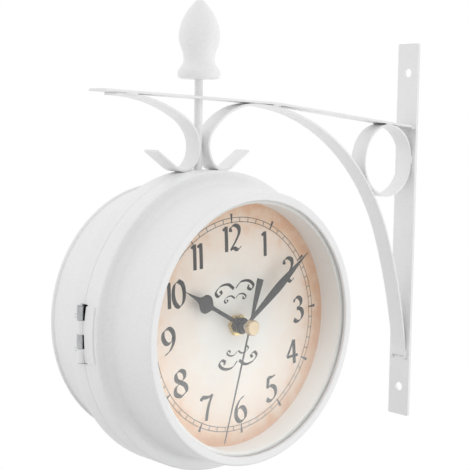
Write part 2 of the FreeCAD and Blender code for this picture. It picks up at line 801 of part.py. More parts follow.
def second_wheel():
    wheel = toothed_wheel(second_wheel_dia, second_teeth, second_wheel_level)
    shoulder = cover_inner + 2 * movement_wall + running
    arbor = with_arbor(wheel, second_arbor, 0, shoulder, dial_face + second_height + hand_thick)
    return arbor.fuse(front_disc(second_pivot / 2, cover_inner, shoulder)).removeSplitter()


def set_knob():
    """Setting knob behind the movement, its stem and the wheel beside the minute wheel."""
    top = movement_back - knob_gap
    ribs = []
    for index in range(knob_ribs * 2):
        angle = math.pi * index / knob_ribs
        radius = knob_dia / 2 - (0 if index % 2 else knob_rib_depth)
        ribs.append((knob_x + radius * math.cos(angle), knob_z + radius * math.sin(angle)))
    head = flat_front(ribs, top - knob_height, top)
    level = movement_face - minute_wheel_level
    stem = front_disc(knob_stem / 2, top, level, knob_x, knob_z)
    wheel = toothed_wheel(minute_wheel_dia, minute_teeth, minute_wheel_level, knob_x, knob_z)
    return fuse_all([head, stem, wheel])


def battery():
    depth = movement_face - movement_wall - cell_dia / 2 - cell_seat
    start = Vec(axis_x - cell_length / 2, mid_y - depth, axis_z + cell_z)
    can = Part.makeCylinder(cell_dia / 2, cell_length, start, Vec(1, 0, 0))
    end = Vec(axis_x + cell_length / 2, mid_y - depth, axis_z + cell_z)
    return can.fuse(Part.makeCylinder(cell_nub / 2, cell_nub_height, end, Vec(1, 0, 0))).removeSplitter()


def battery_contacts():
    """Flat contact at the nub end, contact with a round spring seat at the other."""
    depth = movement_face - movement_wall - cell_dia / 2
    wall = movement_half - movement_wall
    low, high = cell_z - contact_half, cell_z + contact_half
    near, far = depth - contact_half, depth + contact_half
    plus = front_box(wall - contact_thick, wall, low, high, near, far)
    minus = front_box(-wall, contact_thick - wall, low, high, near, far)
    reach = wall - contact_thick - cell_length / 2 - spring_gap
    spring = Part.makeCone(spring_base, spring_tip, reach, Vec(axis_x - wall + contact_thick, mid_y - depth, axis_z + cell_z),
                           Vec(1, 0, 0))
    return Part.makeCompound([plus, minus.fuse(spring).removeSplitter()])


def circuit_board():
    length, height, thick = board_size
    inner = movement_half - movement_wall
    depth = movement_face - movement_wall
    return front_box(-inner, length - inner, inner - height, inner, depth - thick, depth)


def motor_coil():
    """Bobbin with its winding, beside the circuit board."""
    inner = movement_half - movement_wall
    depth = movement_face - movement_wall - board_size[2] - coil_flange / 2
    start = Vec(axis_x - inner + coil_from_wall, mid_y - depth, axis_z + inner - coil_flange / 2)
    coil = Part.makeCylinder(coil_dia / 2, coil_length, start, Vec(1, 0, 0))
    for along in (0, coil_length - flange_thick):
        coil = coil.fuse(Part.makeCylinder(coil_flange / 2, flange_thick, start + Vec(along, 0, 0), Vec(1, 0, 0)))
    core = Part.makeCylinder(coil_core / 2, coil_length + 2 * core_stand, start - Vec(core_stand, 0, 0),
                             Vec(1, 0, 0))
    return coil.fuse(core).removeSplitter()


def rubber_washer():
    return front_ring(rubber_dia / 2, dial_hole / 2, movement_face, dial_back)


def fixing_nut():
    corner = bush_nut_flats / 2 / math.cos(math.radians(30))
    points = [on_circle((0, 0), corner, 60 * i) for i in range(6)]
    nut = flat_front(points, dial_face, dial_face + bush_nut_thick)
    return nut.cut(front_disc(bush_dia / 2, dial_face - 1, dial_face + bush_nut_thick + 1))


# ---------------------------------------------------------------- one side: hands

def hour_hand():
    """Spade hand: straight stem, round bulb and a long thin point."""
    level = dial_face + hour_height
    stem, neck, tip = hour_stem / 2, hour_neck / 2, hour_tip / 2
    items = [(-stem, 0), (-stem, hour_bulb_at - hour_bulb / 2), (-neck, hour_bulb_at + hour_bulb * 0.9),
             (-tip, hour_length), (tip, hour_length), (neck, hour_bulb_at + hour_bulb * 0.9),
             (stem, hour_bulb_at - hour_bulb / 2), (stem, 0)]
    blade = flat_front(items, level, level + hand_thick)
    bulb = front_disc(hour_bulb, level, level + hand_thick, 0, hour_bulb_at)
    hub = front_disc(hour_hub / 2, level - collar_height / 2, level + hand_thick)
    hand = fuse_all([blade, bulb, hub]).cut(front_disc(hour_tube / 2, level - 5, level + 5))
    hand.rotate(Vec(axis_x, 0, axis_z), Vec(0, 1, 0), hour_angle)
    return hand


def minute_hand():
    """Long leaf: widest below the middle, fine point."""
    level = dial_face + minute_height
    neck, wide, tip = minute_neck / 2, minute_widest / 2, minute_tip / 2
    items = [(-neck, 0), (-wide, minute_widest_at), (-tip, minute_length), (tip, minute_length),
             (wide, minute_widest_at), (neck, 0)]
    blade = flat_front(items, level, level + hand_thick)
    hub = front_disc(minute_hub / 2, level - collar_height / 2, level + hand_thick)
    bore = hour_bore / 2 - running
    hand = blade.fuse(hub).removeSplitter().cut(front_disc(bore, level - 5, level + 5))
    hand.rotate(Vec(axis_x, 0, axis_z), Vec(0, 1, 0), minute_angle)
    return hand


def second_hand():
    """Needle with a wide flat tail and a small collar."""
    level = dial_face + second_height
    half, tip = needle_width / 2, needle_tip / 2
    tail = second_tail_width / 2
    items = [(-half, 0), (-tip, second_length), (tip, second_length), (half, 0),
             (tail, -second_tail), (-tail, -second_tail)]
    needle = flat_front(items, level, level + hand_thick)
    hub = front_disc(cap_dia / 2 - second_hub_step, level, level + hand_thick)
    collar = front_disc(second_arbor, level - collar_height, level)
    hand = fuse_all([needle, hub, collar]).cut(front_disc(second_arbor / 2, level - 5, level + 5))
    hand.rotate(Vec(axis_x, 0, axis_z), Vec(0, 1, 0), second_angle)
    return hand


def hand_cap():
    base = dial_face + second_height + hand_thick
    cap = front_disc(cap_dia / 2, base, base + cap_height)
    rim = [edge for edge in cap.Edges if abs(edge.CenterOfMass.y - (mid_y - base - cap_height)) < 1e-6]
    return cap.makeFillet(cap_round, rim)


SIDE_PIECES = {
    "glass": glass, "spacer_ring": spacer_ring, "dial": dial, "dial_keeper": dial_keeper,
    "movement_case": movement_case, "movement_cover": movement_cover, "circuit_board": circuit_board,
    "motor_coil": motor_coil, "battery": battery, "battery_contacts": battery_contacts,
    "hour_wheel": hour_wheel, "minute_wheel": minute_wheel, "second_wheel": second_wheel,
    "set_knob": set_knob, "rubber_washer": rubber_washer, "fixing_nut": fixing_nut,
    "hour_hand": hour_hand, "minute_hand": minute_hand, "second_hand": second_hand,
    "hand_cap": hand_cap,
}


def all_pieces():
    pieces = {
        "wall_plate": wall_plate(), "arm_strip": arm_strip(), "hook_brace_strip": hook_brace_strip(),
        "left_scroll_strip": left_scroll_strip(), "ring_strip": ring_strip(),
    }
    pieces["weld_beads"] = weld_beads(pieces["arm_strip"])
    pieces.update({
        "hanger_rod": hanger_rod(), "finial": finial(), "rod_washer": rod_washer(), "rod_nut": rod_nut(),
        "rear_shell": rear_shell(), "front_shell": front_shell(), "hinge_pin": hinge_pin(),
        "hinge_front_leaf": hinge_front_leaf(),
        "hinge_front_rivets": hinge_rivets(mid_y - rivet_place, band_radius + leaf_thick, band_inner),
        "hinge_rear_rivets": hinge_rivets(mid_y + rivet_place, band_radius, band_inner - leaf_thick),
        "catch_bracket": catch_bracket(), "catch_magnet": catch_magnet(), "strike_plate": strike_plate(),
    })
    pieces["hinge_rear_leaf"] = hinge_rear_leaf().cut(pieces["rear_shell"])
    for name, make in SIDE_PIECES.items():
        piece = make()
        pieces["front_" + name] = piece
        pieces["rear_" + name] = to_rear(piece)
    return pieces


os.makedirs("parts", exist_ok=True)
for name, shape in all_pieces().items():
    shape.exportStep("parts/" + name + ".step")
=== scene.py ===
import math

import bpy
import numpy as np
from mathutils import Matrix, Vector


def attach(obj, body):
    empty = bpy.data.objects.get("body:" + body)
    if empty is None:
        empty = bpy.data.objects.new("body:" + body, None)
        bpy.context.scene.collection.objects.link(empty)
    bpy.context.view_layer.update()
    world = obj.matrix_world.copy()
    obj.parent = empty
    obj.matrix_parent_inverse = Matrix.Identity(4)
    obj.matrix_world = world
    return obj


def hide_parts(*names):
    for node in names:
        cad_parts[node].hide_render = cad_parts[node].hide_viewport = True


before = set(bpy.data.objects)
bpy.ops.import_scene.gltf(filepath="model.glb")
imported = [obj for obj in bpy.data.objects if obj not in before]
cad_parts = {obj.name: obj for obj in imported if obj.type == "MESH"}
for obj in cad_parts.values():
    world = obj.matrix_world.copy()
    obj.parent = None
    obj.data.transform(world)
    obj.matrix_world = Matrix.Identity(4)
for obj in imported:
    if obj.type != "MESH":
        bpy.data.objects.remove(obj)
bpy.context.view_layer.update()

# Sizes are in millimetres here and turned to metres when a mesh is made.
MM = 0.001
CLOCK_X, CLOCK_Y, CLOCK_Z = -186.4, -8.0, -40.2      # middle of the case
TURN = 2 * math.pi
CORNER = 0.3                  # paint rounds every sheet edge to about this radius

# Case, measured as radius from the clock axis and depth from the middle of the case
WALL, SEAM = 0.8, 0.1
BAND_RADIUS, BAND_DEPTH = 85.0, 12.4
SHOULDER_RADIUS, FILLET = 81.0, 4.0
NECK_RADIUS, RIM_RADIUS, RIM_BEAD, RIM_DEPTH = 74.3, 75.4, 1.3, 44.9
OPENING, LIP_CORNER, GLASS_FRONT = 70.3, 0.8, 43.2
NOTCH_DEPTH, NOTCH_HALF = 2.8, 15.8
LIP_RADIUS, LIP_REACH = 83.8, 3.0

# Dial sheet, the reveal ring in front of it, and the print on it
DIAL_FACE, GLASS_BACK = 26.1, 41.2
REVEAL_RADIUS, REVEAL_WALL, REVEAL_STEP, REVEAL_GAP = 68.6, 4.6, 0.35, 0.15
REVEAL_SEAM = 28.0            # degrees from the right side of the dial, where the card overlaps
INK = 0.04                    # the print stands this far out of the paper and as far into it
PRINT_TURN = -4.9             # degrees, the printed dial sits a little anticlockwise
CHAPTER_OUTER, CHAPTER_INNER, CHAPTER_LINE = 60.0, 57.5, 0.34
MINUTE_BAR = (CHAPTER_INNER, CHAPTER_OUTER, 0.18, 0.22)   # inner and outer radius, half width at each
HOUR_BAR = (57.0, 62.4, 0.25, 0.85)
NUMERAL_RADIUS, NUMERAL_HEIGHT, PAIR_SHIFT = 48.7, 14.0, -1.2
DIGIT_WIDTH, DIGIT_PITCH, ONES_PITCH = 0.68, 0.48, 0.32   # as shares of the height; the last is for 11
NIB, NIB_ANGLE, HAIRLINE, FINE_NIB = 0.17, 32.0, 0.03, 0.11
CURLS = ((14.0, 20.5), (8.0, 15.0))                      # length of each and how far from the middle

# Bracket strips: start of the middle line (x, z), first heading in degrees, thickness, width, then
# (length, turn) runs
STRIP_WIDTH, STRIP_THICK, ARM_WIDTH, ARM_THICK = 11.6, 1.5, 14.0, 1.4
STRIPS = {
    "left_scroll_strip": ((-220.594, 55.654), -34.3, STRIP_THICK, STRIP_WIDTH,
                          ((16.5, 0.0), (17.281, 94.3), (17.811, 65.0), (11.707, 25.7),
                           (43.017, 27.33), (6.0, 0.0))),
    "hook_brace_strip": ((-151.496, 55.542), -145.7, STRIP_THICK, STRIP_WIDTH,
                         ((16.5, 0.0), (17.281, -94.3), (7.33, -20.0), (11.299, -49.8),
                          (39.205, -52.17), (157.039, -66.33), (76.497, -12.4), (8.388, -9.3))),
    "arm_strip": ((-2.069, 70.903), 174.34, ARM_THICK, ARM_WIDTH,
                  ((127.06, 0.0), (1.932, 3.69), (127.109, 0.0))),
}
RING_X, RING_Z, RING_RADIUS = -25.894, 48.55, 23.844

# Finial, as (radius, height) above its base
FINIAL_BASE = 95.987
FINIAL = ((9.8, 0.0), (11.7, 0.8), (12.2, 2.6), (12.0, 4.6), (10.8, 6.4), (9.4, 8.5), (8.85, 11.2),
          (9.5, 15.0), (11.0, 19.2), (11.8, 23.4), (11.55, 27.2), (10.1, 32.4), (7.4, 37.6), (4.4, 41.6),
          (1.9, 44.2), (0.2, 45.0))

# Weld beads: x and z of the middle, width of the strip, length, and whether the bead stands upright
BEADS = ((-238.3, 86.4, STRIP_WIDTH, 9.0, False), (-129.4, 82.7, STRIP_WIDTH, 7.0, False),
         (-25.9, 72.5, STRIP_WIDTH, 7.0, False), (-2.6, 48.6, STRIP_WIDTH, 5.6, True),
         (-2.6, -84.0, STRIP_WIDTH, 6.4, True), (-3.2, 70.2, ARM_WIDTH, 3.4, False))
BEAD_RADIUS, BEAD_TIP, BEAD_WOBBLE = 1.35, 0.03, 0.12   # the last two as shares of the radius
BEAD_SIDE, BEAD_OUT, BEAD_SINK = 0.75, 0.8, 0.1         # shares of the radius, and mm into the strip
RIPPLE, RIPPLE_PITCH = 0.06, 1.1

# How finely curves are divided
STRIP_STEP, RING_STATIONS, FINIAL_STATIONS, BEAD_STATIONS = 1.2, 120, 96, (25, 18)
CASE_STATIONS, REVEAL_STATIONS, LINE_STATIONS, HUB_STATIONS = 360, 240, 240, 64
CURVE_CORNER = 0.05           # rounding of the corners that only stand for points of a curve
NEARLY = 0.98                 # a section shrinks by this share of the rounding, so never to nothing
HAIR = 1e-4                   # radians between the end of the rolled card and the station before it


# ------------------------------------------------------------------ meshes

def to_rear(points):
    """Half a turn about the upright axis of the case: x and y mirrored through it."""
    return points * (-1, -1, 1) + (2 * CLOCK_X, 2 * CLOCK_Y, 0)


def at_clock(across, up, depth):
    """Points of the front side from across, up and depth, measured from the clock axis."""
    return np.stack(np.broadcast_arrays(CLOCK_X + across, CLOCK_Y - depth, CLOCK_Z + up), -1)


def grid_faces(rows, columns, shut_rows):
    """Four-sided faces between neighbours of a grid. The last column joins the first, and the last row too
    where the rows are shut."""
    index = np.arange(rows * columns).reshape(rows, columns)
    if shut_rows:
        index = np.vstack([index, index[:1]])
    index = np.hstack([index, index[:, :1]])
    return np.stack([index[:-1, :-1], index[1:, :-1], index[1:, 1:], index[:-1, 1:]], -1).reshape(-1, 4)


def piece(name, grids, body, finish, replaces=(), crease=35, rear=False):
    """One object of closed surfaces. Each is a grid of points in mm, shut along its columns, and either
    shut along its rows too or closed by a face at each end. Its faces are turned over where the sum of the
    tetrahedra from its first point to the grid's faces, which is its volume, comes out negative."""
    points, faces, first = [], [], 0
    for grid, shut_rows in grids:
        grid = to_rear(grid) if rear else grid
        rows, columns = grid.shape[:2]
        flat = grid.reshape(-1, 3)
        quads = grid_faces(rows, columns, shut_rows)
        a, b, c, d = (flat[quads[:, i]] - flat[0] for i in range(4))
        volume = (np.cross(a, b) * c).sum() + (np.cross(a, c) * d).sum()
        end = np.arange(columns)
        caps = [] if shut_rows else [end, ((rows - 1) * columns + end)[::-1]]
        if volume < 0:
            quads, caps = quads[:, ::-1], [cap[::-1] for cap in caps]
        faces += (quads + first).tolist() + [(cap + first).tolist() for cap in caps]
        points.append(flat)
        first += len(flat)
    mesh = bpy.data.meshes.new(name)
    mesh.from_pydata((np.concatenate(points) * MM).tolist(), [], faces)
    mesh.shade_smooth()
    mesh.set_sharp_from_angle(angle=math.radians(crease))
    mesh.materials.append(finish)
    made = bpy.data.objects.new(name, mesh)
    bpy.context.scene.collection.objects.link(made)
    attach(made, body)
    if replaces:
        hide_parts(*replaces)


def rounded_section(across, along, radius, steps=4):
    """Rectangle with round corners: each corner's centre plus radius (cos, sin) over its quarter turn."""
    corner = np.repeat(np.arange(4), steps + 1)
    angle = (corner + np.tile(np.linspace(0, 1, steps + 1), 4)) * TURN / 4
    side_a = np.array([1, -1, -1, 1])[corner]
    side_b = np.array([1, 1, -1, -1])[corner]
    return (side_a * (across / 2 - radius) + radius * np.cos(angle),
            side_b * (along / 2 - radius) + radius * np.sin(angle))


def bent_line(start, heading, runs, stations):
    """Middle line of a bent strip: the heading grows evenly along each run, and each step adds its chord,
    the arc length times sin(x)/x of half its turn, in the mean heading of the step."""
    lengths, turns = np.array(runs).T
    at = np.concatenate([[0.0], np.cumsum(lengths)])
    headings = np.radians(heading + np.concatenate([[0.0], np.cumsum(turns)]))
    angle = np.interp(stations, at, headings)
    middle, bend = (angle[1:] + angle[:-1]) / 2, np.diff(angle)
    chord = np.diff(stations) * np.sinc(bend / TURN)
    x = start[0] + np.concatenate([[0.0], np.cumsum(chord * np.cos(middle))])
    z = start[1] + np.concatenate([[0.0], np.cumsum(chord * np.sin(middle))])
    return x, z, angle


def strip(start, heading, thick, width, runs):
    """Rounded flat section carried along the bent line. Near each end it shrinks by the quarter circle
    corner - sqrt(corner^2 - (corner - distance)^2), so the sheared ends are rounded too."""
    total = sum(run[0] for run in runs)
    near = CORNER * (1 - np.cos(np.linspace(0, TURN / 4, 4)))
    breaks = np.cumsum([run[0] for run in runs])[:-1]
    even = np.linspace(CORNER, total - CORNER, int(total / STRIP_STEP))
    stations = np.unique(np.concatenate([near, total - near, breaks, even]))
    x, z, angle = bent_line(start, heading, runs, stations)
    from_end = np.minimum(np.minimum(stations, total - stations), CORNER)
    inset = CORNER - np.sqrt(np.maximum(CORNER ** 2 - (CORNER - from_end) ** 2, 0))
    inset = inset[:, None] * NEARLY
    a, b = rounded_section(thick - 2 * inset, width - 2 * inset, CORNER - inset)
    x, z, angle = x[:, None], z[:, None], angle[:, None]
    return np.stack([x - np.sin(angle) * a, b, z + np.cos(angle) * a], -1)


def turned(radius, depth, stations):
    """A closed (radius, depth) outline turned about the clock axis."""
    angle = np.linspace(0, TURN, stations, endpoint=False)[:, None]
    return at_clock(radius * np.cos(angle), radius * np.sin(angle), depth)


def soft_outline(corners, steps=5):
    """Closed outline from (radius, depth, rounding) corners. Each corner is replaced by the quadratic curve
    (1-t)^2 p + 2t(1-t) corner + t^2 q, where p and q lie the rounding's length away along its two sides."""
    corners = np.array(corners, float)
    place, reach = corners[:, :2], corners[:, 2:]
    back, on = np.roll(place, 1, 0) - place, np.roll(place, -1, 0) - place
    long_back = np.linalg.norm(back, axis=1, keepdims=True)
    long_on = np.linalg.norm(on, axis=1, keepdims=True)
    p = place + back / long_back * np.minimum(reach, long_back * 0.49)
    q = place + on / long_on * np.minimum(reach, long_on * 0.49)
    t = np.linspace(0, 1, steps)[None, :, None]
    curve = (1 - t) ** 2 * p[:, None] + 2 * t * (1 - t) * place[:, None] + t ** 2 * q[:, None]
    return curve.reshape(-1, 2).T


def arc(centre, radius, start, end, steps=9):
    """Points centre + radius (cos, sin) from one angle to another in degrees, as hardly rounded corners."""
    return [(centre[0] + radius * math.cos(a), centre[1] + radius * math.sin(a), CURVE_CORNER)
            for a in np.radians(np.linspace(start, end, steps))]


def spline(points, steps):
    """Catmull-Rom curve through points: 0.5 (2b + (c-a)t + (2a-5b+4c-d)t^2 + (3b-a-3c+d)t^3) from b to c,
    where the end points are carried on in line."""
    points = np.array(points, float)
    whole = np.vstack([2 * points[0] - points[1], points, 2 * points[-1] - points[-2]])
    a, b, c, d = (whole[i:len(whole) - 3 + i, None] for i in range(4))
    t = np.linspace(0, 1, steps, endpoint=False)[None, :, None]
    curve = 0.5 * (2 * b + (c - a) * t + (2 * a - 5 * b + 4 * c - d) * t ** 2
                   + (3 * b - a - 3 * c + d) * t ** 3)
    return np.vstack([curve.reshape(-1, points.shape[1]), points[-1:]])


# ------------------------------------------------------------------ materials

NOISE_LOW, NOISE_HIGH = 0.3, 0.7      # nearly all of a noise's values lie between these
PAINT_CLOUD, PAPER_BLOTCH = 35.0, 9.0         # widths in mm
PAPER_PUSH = 9.0                      # mm that a blotch moves the printed tone in or out
RAMP_RADIUS = 72.0                    # mm from the axis at which the dial's tones end
DIAL_TONES = ((0.30, "#EFEBE6"), (0.55, "#EDE2D8"), (0.74, "#EAD7C8"), (0.86, "#E3BFA1"), (0.95, "#DBA880"))
BARE_CARD = "#C9C6BF"
TOOL_PITCH, TOOL_DEPTH = 0.25, 0.004          # rings left by the turning tool, in mm


def srgb(code):
    """Linear colour of an sRGB hex code: c/12.92 below 0.04045, ((c + 0.055) / 1.055) ** 2.4 above."""
    parts = [int(code[i:i + 2], 16) / 255 for i in (1, 3, 5)]
    return (*[c / 12.92 if c <= 0.04045 else ((c + 0.055) / 1.055) ** 2.4 for c in parts], 1.0)


def add(tree, kind, links=None, **settings):
    """Adds a node. settings are its properties; links gives inputs, by name or number, a value or socket."""
    made = tree.nodes.new(kind)
    for key, value in settings.items():
        setattr(made, key, value)
    for key, value in (links or {}).items():
        if isinstance(value, bpy.types.NodeSocket):
            tree.links.new(value, made.inputs[key])
        else:
            made.inputs[key].default_value = value
    return made


def material(name, **values):
    """A material with its Principled shader, whose even values are set on the shader's own sockets."""
    made = bpy.data.materials.new(name)
    made.use_nodes = True
    shader = made.node_tree.nodes["Principled BSDF"]
    for key, value in values.items():
        shader.inputs[key.replace("_", " ")].default_value = value
    return made, made.node_tree, shader


def grained(name, low, high, grain, rough, relief, detail=2.0, **values):
    """A finish whose colour and roughness drift between two ends with a noise of grain mm, which also lifts
    the surface by relief mm. Gives the material, its tree and shader, the place and the colour."""
    made, tree, shader = material(name, **values)
    place = add(tree, "ShaderNodeTexCoord").outputs["Object"]
    noise = add(tree, "ShaderNodeTexNoise", {"Vector": place, "Scale": 1 / (grain * MM), "Detail": detail,
                                             "Roughness": 0.55}).outputs[0]
    spread = add(tree, "ShaderNodeMapRange", {0: noise, 1: NOISE_LOW, 2: NOISE_HIGH})
    tone = add(tree, "ShaderNodeMix", {0: spread.outputs[0], 6: srgb(low), 7: srgb(high)},
               data_type="RGBA").outputs[2]
    gloss = add(tree, "ShaderNodeMapRange", {0: noise, 1: NOISE_LOW, 2: NOISE_HIGH, 3: rough[0],
                                             4: rough[1]})
    tree.links.new(tone, shader.inputs["Base Color"])
    tree.links.new(gloss.outputs[0], shader.inputs["Roughness"])
    if relief:
        bump = add(tree, "ShaderNodeBump", {"Height": noise, "Distance": relief * MM, "Strength": 1.0})
        tree.links.new(bump.outputs[0], shader.inputs["Normal"])
    return made, tree, shader, place, tone


def powder_coat():
    """White polyester powder coat, baked on sheet steel: a fine orange peel of about 1.6 mm, a soft gloss
    and a slight drift to grey where the coat is thinner."""
    made, tree, shader, place, tone = grained("white_powder_coat", "#EBEBEB", "#F0F0F0", 1.6, (0.34, 0.46),
                                              0.006)
    drift = add(tree, "ShaderNodeTexNoise", {"Vector": place, "Scale": 1 / (PAINT_CLOUD * MM),
                                             "Detail": 3.0})
    cloud = add(tree, "ShaderNodeMapRange", {0: drift.outputs[0], 1: 0.35, 2: 0.75, 3: 0.0, 4: 0.35})
    clouded = add(tree, "ShaderNodeMix", {0: cloud.outputs[0], 6: tone, 7: srgb("#E5E5E5")},
                  data_type="RGBA")
    tree.links.new(clouded.outputs[2], shader.inputs["Base Color"])
    return made


def from_axis(tree, place):
    """Distance from the clock axis in mm, from the across and up parts of the place."""
    flat = add(tree, "ShaderNodeVectorMath", {0: place, 1: (-CLOCK_X * MM, 0, -CLOCK_Z * MM)},
               operation="ADD")
    plane = add(tree, "ShaderNodeVectorMath", {0: flat.outputs[0], 1: (1 / MM, 0, 1 / MM)},
                operation="MULTIPLY")
    return add(tree, "ShaderNodeVectorMath", {0: plane.outputs[0]}, operation="LENGTH").outputs["Value"]


def aged_paper_dial():
    """Printed matt paper on card: ivory in the middle, creamier outwards and a tan border ring, with soft
    blotches of 9 mm in the printed tone and fine paper fibre. Its back and edge are bare greyish card."""
    made, tree, shader, place, tone = grained("printed_paper_dial", "#FAF9F7", "#FFFFFF", 0.5, (0.55, 0.68),
                                              0.004)
    blotch = add(tree, "ShaderNodeTexNoise", {"Vector": place, "Scale": 1 / (PAPER_BLOTCH * MM),
                                              "Detail": 4.0, "Roughness": 0.6})
    push = add(tree, "ShaderNodeMapRange", {0: blotch.outputs[0], 1: 0.2, 2: 0.8, 3: -PAPER_PUSH,
                                            4: PAPER_PUSH})
    moved = add(tree, "ShaderNodeMath", {0: from_axis(tree, place), 1: push.outputs[0]}, operation="ADD")
    share = add(tree, "ShaderNodeMath", {0: moved.outputs[0], 1: 1 / RAMP_RADIUS}, operation="MULTIPLY",
                use_clamp=True)
    ramp = add(tree, "ShaderNodeValToRGB", {0: share.outputs[0]})
    stops = ramp.color_ramp.elements
    for at, code in DIAL_TONES:
        stops.new(at).color = srgb(code)
    stops.remove(stops[0])
    stops.remove(stops[-1])
    printed_tone = add(tree, "ShaderNodeMix", {0: 1.0, 6: ramp.outputs[0], 7: tone}, data_type="RGBA",
                       blend_type="MULTIPLY")
    depth = add(tree, "ShaderNodeSeparateXYZ", {0: place})
    depth = add(tree, "ShaderNodeMath", {0: depth.outputs[1], 1: CLOCK_Y * MM}, operation="SUBTRACT")
    depth = add(tree, "ShaderNodeMath", {0: depth.outputs[0]}, operation="ABSOLUTE")
    face = add(tree, "ShaderNodeMath", {0: depth.outputs[0], 1: (DIAL_FACE - 0.1) * MM},
               operation="GREATER_THAN")
    whole = add(tree, "ShaderNodeMix", {0: face.outputs[0], 6: srgb(BARE_CARD), 7: printed_tone.outputs[2]},
                data_type="RGBA")
    tree.links.new(whole.outputs[2], shader.inputs["Base Color"])
    return made


def turned_brass(name, low, high, rough):
    """Turned brass under clear lacquer: yellow metal with fine tool rings 0.25 mm apart round the axis."""
    made, tree, shader, place, _ = grained(name, low, high, 0.7, rough, 0.0, Metallic=1.0)
    rings = add(tree, "ShaderNodeMath", {0: from_axis(tree, place), 1: TURN / TOOL_PITCH},
                operation="MULTIPLY")
    wave = add(tree, "ShaderNodeMath", {0: rings.outputs[0]}, operation="SINE")
    bump = add(tree, "ShaderNodeBump", {"Height": wave.outputs[0], "Distance": TOOL_DEPTH * MM,
                                        "Strength": 1.0})
    tree.links.new(bump.outputs[0], shader.inputs["Normal"])
    return made


def banded(name, base, band, pitch, width, grain, rough, relief, **values):
    """A finish with stripes of one colour on another, pitch mm apart across the clock: where the sine of
    the place is above width. The stripes stand relief mm out."""
    made, tree, shader, place, tone = grained(name, base[0], base[1], grain, rough, 0.0, **values)
    split = add(tree, "ShaderNodeSeparateXYZ", {0: place})
    phase = add(tree, "ShaderNodeMath", {0: split.outputs[0], 1: TURN / (pitch * MM)}, operation="MULTIPLY")
    wave = add(tree, "ShaderNodeMath", {0: phase.outputs[0]}, operation="SINE")
    share = add(tree, "ShaderNodeMapRange", {0: wave.outputs[0], 1: width, 2: width + 0.3})
    colour = add(tree, "ShaderNodeMix", {0: share.outputs[0], 6: tone, 7: srgb(band)}, data_type="RGBA")
    bump = add(tree, "ShaderNodeBump", {"Height": wave.outputs[0], "Distance": relief * MM,
                                        "Strength": 1.0})
    tree.links.new(colour.outputs[2], shader.inputs["Base Color"])
    tree.links.new(bump.outputs[0], shader.inputs["Normal"])
    return made


def clear_pane():
    """Float glass 2 mm thick: colourless, with faint wiping marks in its gloss. A flat pane passes light
    straight on, so shadow and diffuse rays see it as clear."""
    made, tree, shader, *_ = grained("float_glass", "#FCFEFD", "#FEFFFE", 24.0, (0.0, 0.012), 0.0,
                                     Transmission_Weight=1.0, IOR=1.5)
    path = add(tree, "ShaderNodeLightPath")
    lit = add(tree, "ShaderNodeMath", {0: path.outputs["Is Shadow Ray"], 1: path.outputs["Is Diffuse Ray"]},
              operation="MAXIMUM")
    clear = add(tree, "ShaderNodeBsdfTransparent")
    mix = add(tree, "ShaderNodeMixShader", {0: lit.outputs[0], 1: shader.outputs[0], 2: clear.outputs[0]})
    tree.links.new(mix.outputs[0], tree.nodes["Material Output"].inputs["Surface"])
    return made


PAINT = powder_coat()
# Zinc-plated steel with its clear passivation: a cool grey metal with cloudy patches
ZINC = grained("zinc_plated_steel", "#A9ACAF", "#BFC1C2", 2.2, (0.28, 0.44), 0.004, Metallic=1.0)[0]
# Spark-eroded moulded ABS: near-black, matt, with a grain of about 0.4 mm
ABS = grained("moulded_black_abs", "#151617", "#1D1E20", 0.4, (0.48, 0.62), 0.012)[0]
# Sintered ferrite: dark grey and gritty
FERRITE = grained("sintered_ferrite", "#35363A", "#45464A", 0.6, (0.6, 0.75), 0.01)[0]
GLASS = clear_pane()
# Coated white card rolled into the reveal ring: a slightly warm grey white with paper fibre
CARD = grained("coated_white_card", "#E9E8E6", "#EEEDEB", 0.9, (0.5, 0.62), 0.006, detail=4.0)[0]
DIAL_PAPER = aged_paper_dial()
# Glass-fibre board under green solder resist, with copper tracks 1.3 mm apart showing through
BOARD = banded("green_solder_resist", ("#0F4A2C", "#145A36"), "#2A7A4A", 1.3, 0.3, 0.8, (0.3, 0.42), 0.02)
# Enamelled copper wire wound in layers: the turns are drawn 0.5 mm apart, coarser than real, to show
COPPER = banded("enamelled_copper_winding", ("#A85A2A", "#B96A34"), "#6E3415", 0.5, 0.55, 0.6, (0.25, 0.38),
                0.05, Metallic=1.0)
# Printed shrink sleeve of a plain cell: dark blue gloss film with light bands 46 mm apart
SLEEVE = banded("plain_shrink_sleeve", ("#1B2A4E", "#20305A"), "#C9CBD0", 46.0, 0.78, 5.0, (0.25, 0.33),
                0.0)
# Acetal wheels: natural off-white, a little waxy
ACETAL = grained("natural_acetal", "#E3E0D6", "#EDEAE1", 1.2, (0.34, 0.44), 0.003, Subsurface_Weight=0.15,
                 Subsurface_Scale=0.002)[0]
# Moulded nitrile rubber: black, dull, slightly dusty
RUBBER = grained("nitrile_rubber", "#1A1A1A", "#262524", 0.7, (0.78, 0.9), 0.01)[0]
# Turned brass of the fixing nuts: bright yellow metal, glossy
BRASS = turned_brass("turned_brass", "#D2B87C", "#DDC791", (0.26, 0.36))
# Stamped aluminium hands under black lacquer: an even satin black with a faint orange peel
LACQUER = grained("black_lacquer", "#0D0D0E", "#131314", 1.1, (0.32, 0.42), 0.003)[0]
# The same brass, paler and duller, on the cap over the hands
CAP_BRASS = turned_brass("pale_lacquered_brass", "#CDB797", "#D8C5A8", (0.42, 0.52))
# Screen-printing ink: a dense matt black film on the paper
INK_BLACK = grained("screen_ink", "#191817", "#24211F", 1.5, (0.55, 0.7), 0.002)[0]
# Nickel-plated spring steel of the cell contacts
NICKEL = grained("nickel_plated_contact", "#BDB9B0", "#CCC8BF", 1.4, (0.2, 0.3), 0.002, Metallic=1.0)[0]

